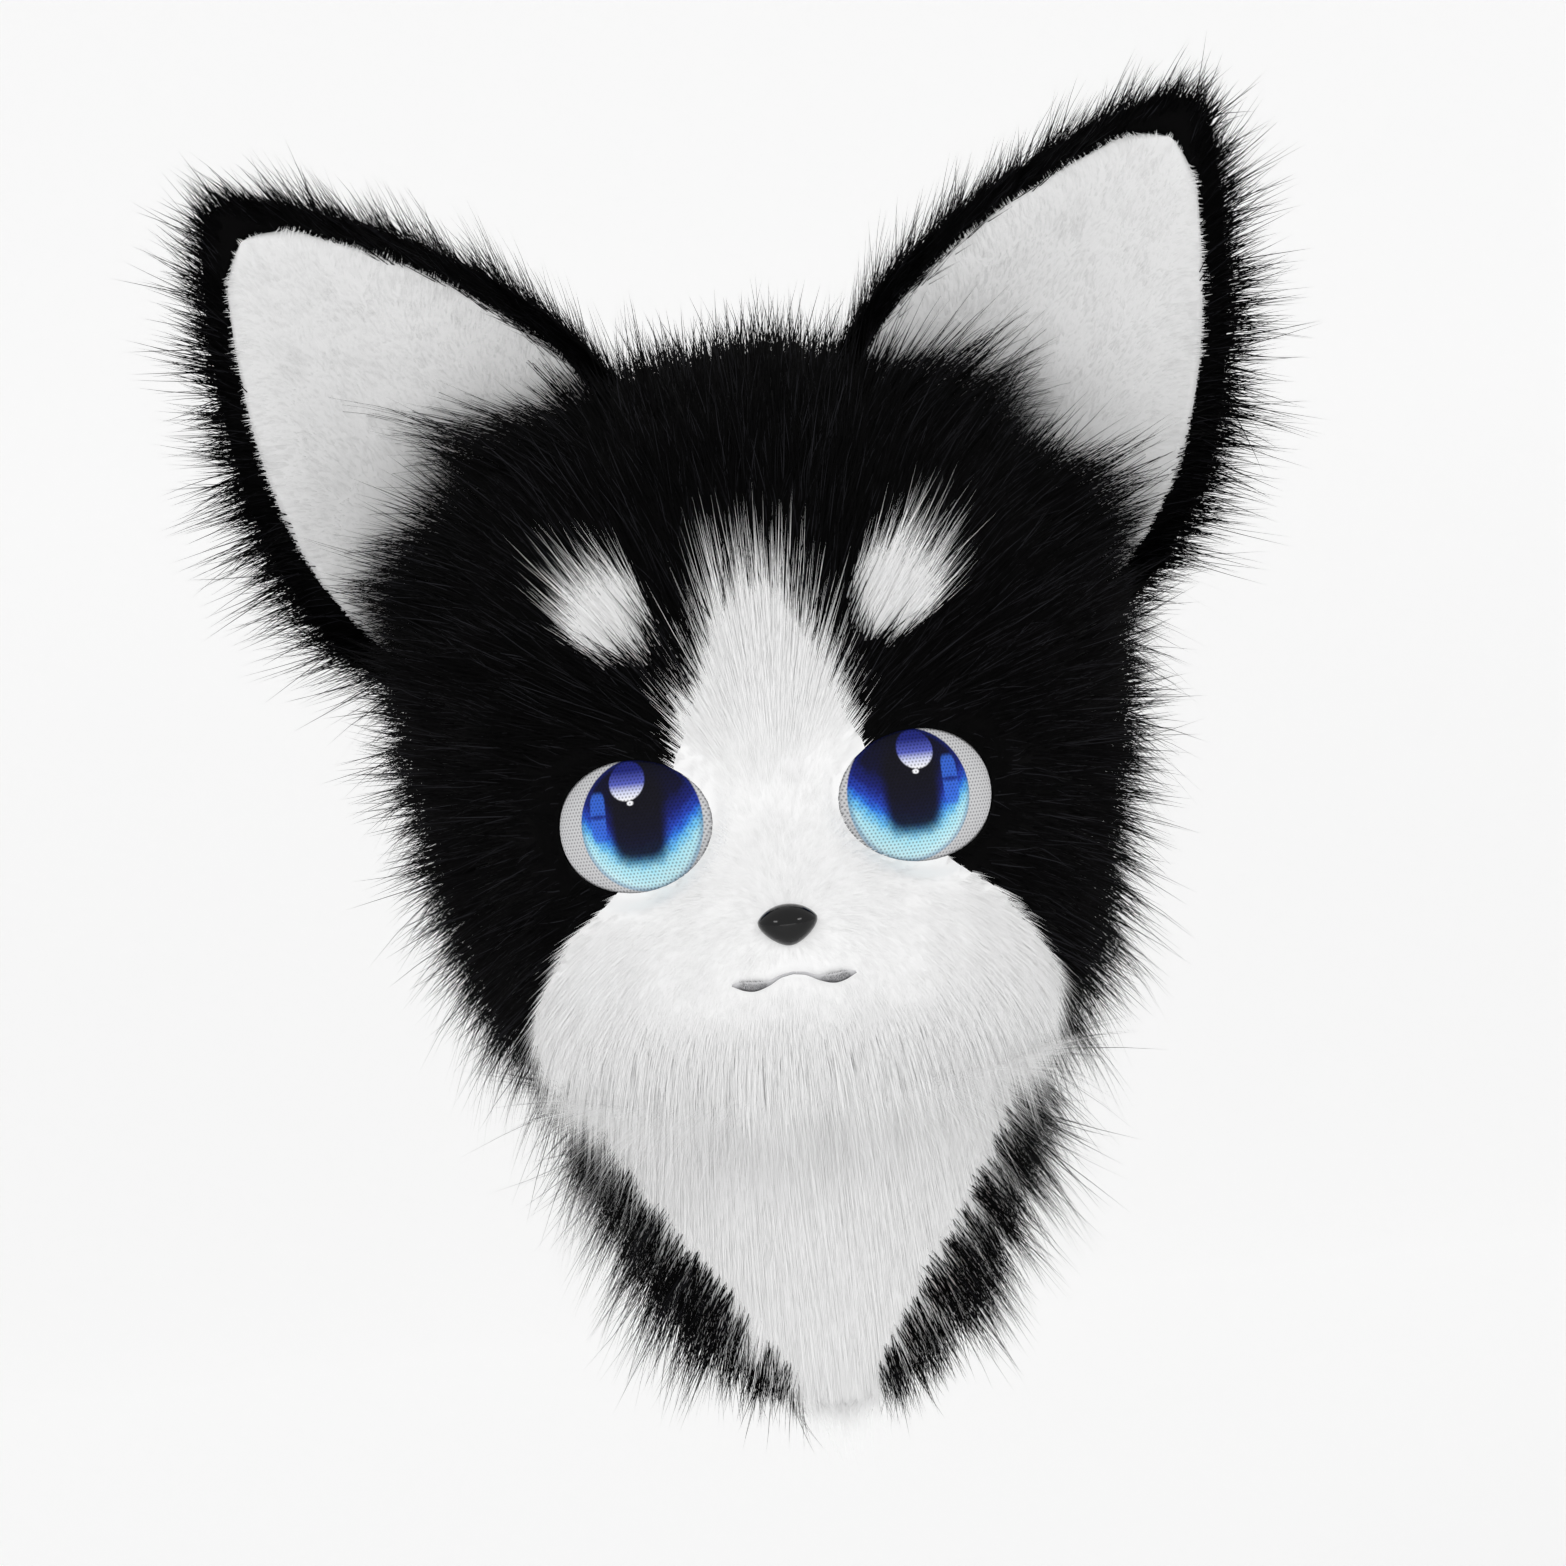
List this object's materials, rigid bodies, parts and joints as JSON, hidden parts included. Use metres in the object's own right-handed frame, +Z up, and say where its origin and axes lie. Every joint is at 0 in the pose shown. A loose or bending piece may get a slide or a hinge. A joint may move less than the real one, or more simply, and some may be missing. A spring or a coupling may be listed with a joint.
{
  "type": "fursuit head",
  "caption": "Hollow padded costume head of a husky-like dog in black and white faux fur, with large cupped ears, printed mesh eyes, a moulded nose and a pointed fur neck.",
  "frame": {"origin": "crown seat: the highest point of the hollow, where the wearer's head touches it", "axes": "+Z up, the face looks along -Y, the wearer's left is +X"},
  "size_m": [0.4726, 0.3205, 0.5452],
  "materials": {
    "padding": "matte lining cloth",
    "black_fur": "long pile",
    "white_fur": "short to medium pile",
    "white_plush": "short plush",
    "eye_mesh": "printed perforated mesh",
    "nose_gloss": "polished",
    "mouth_fabric": "short pile"
  },
  "bodies": {
    "root": {"head_form": "padding", "face_fur": "white_fur", "hood_fur": "black_fur", "brow_spot_left": "white_fur", "brow_spot_right": "white_fur", "bib_fur": "white_fur", "mane_fur": "black_fur", "ear_left": "black_fur", "ear_right": "black_fur", "ear_lining_left": "white_plush", "ear_lining_right": "white_plush", "eye_left": "eye_mesh", "eye_right": "eye_mesh", "nose": "nose_gloss", "mouth_line": "mouth_fabric"}
  },
  "joints": []
}
